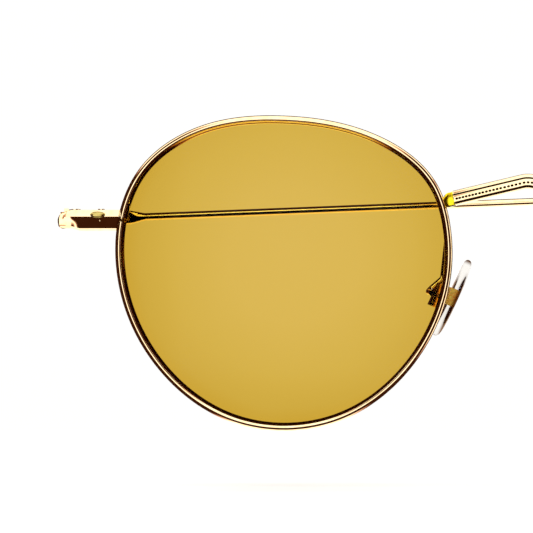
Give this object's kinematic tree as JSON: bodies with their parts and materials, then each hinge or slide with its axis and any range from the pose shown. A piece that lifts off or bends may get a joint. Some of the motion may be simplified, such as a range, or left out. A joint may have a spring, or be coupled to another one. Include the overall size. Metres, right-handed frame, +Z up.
{
  "type": "sunglasses",
  "caption": "Round wire-rim sunglasses with tinted lenses, beaded arched bridge, adjustable nose pads and hinged wire temples, one folded and one open.",
  "frame": {"origin": "the nose seat, midway between the centres of the two nose pads", "axes": "+X across the front towards the wearer's left, +Y back towards the wearer, +Z up"},
  "size_m": [0.1412, 0.1441, 0.0557],
  "materials": {
    "gold_frame": "polished gold plating",
    "screw_steel": "gold-coloured turned screws",
    "pad_core_gold": "stamped, polished",
    "lens_tint": "amber-brown tint, polished both sides",
    "clear_silicone": "clear silicone, smooth",
    "tip_acetate": "tortoiseshell acetate, polished"
  },
  "bodies": {
    "front": {"bridge": "gold_frame", "closing_block_lower_left": "gold_frame", "closing_block_lower_right": "gold_frame", "closing_block_upper_left": "gold_frame", "closing_block_upper_right": "gold_frame", "closing_screw_left": "screw_steel", "closing_screw_right": "screw_steel", "end_piece_left": "gold_frame", "end_piece_right": "gold_frame", "hinge_front_leaf_left": "gold_frame", "hinge_front_leaf_right": "gold_frame", "hinge_screw_left": "screw_steel", "hinge_screw_right": "screw_steel", "lens_left": "lens_tint", "lens_right": "lens_tint", "pad_arm_left": "gold_frame", "pad_arm_right": "gold_frame", "pad_box_left": "gold_frame", "pad_box_right": "gold_frame", "pad_screw_left": "screw_steel", "pad_screw_right": "screw_steel", "rim_left": "gold_frame", "rim_right": "gold_frame"},
    "temple_right": {"temple_right": "gold_frame", "temple_tip_right": "tip_acetate", "hinge_temple_leaf_right": "gold_frame"},
    "temple_left": {"temple_left": "gold_frame", "temple_tip_left": "tip_acetate", "hinge_temple_leaf_left": "gold_frame"},
    "nose_pad_right": {"nose_pad_right": "clear_silicone", "pad_core_right": "pad_core_gold"},
    "nose_pad_left": {"nose_pad_left": "clear_silicone", "pad_core_left": "pad_core_gold"}
  },
  "joints": [
    {"name": "temple_right_hinge", "type": "hinge", "parent": "front", "child": "temple_right", "pos_m": [-0.0681, 0.0046, 0.01195], "axis": [-0.0391, 0.0878, 0.9954], "range_deg": [0, 89.2]},
    {"name": "temple_left_hinge", "type": "hinge", "parent": "front", "child": "temple_left", "pos_m": [0.0681, 0.0046, 0.01195], "axis": [0.0391, 0.0878, 0.9954], "range_deg": [0, 84.5]},
    {"name": "nose_pad_right_rock", "type": "hinge", "parent": "front", "child": "nose_pad_right", "pos_m": [-0.01328, -0.00029, 0.00023], "axis": [-0.1265, 0.9903, 0.0579], "range_deg": [-8, 8]},
    {"name": "nose_pad_left_rock", "type": "hinge", "parent": "front", "child": "nose_pad_left", "pos_m": [0.01328, -0.00029, 0.00023], "axis": [0.1265, 0.9903, 0.0579], "range_deg": [-8, 8]}
  ]
}
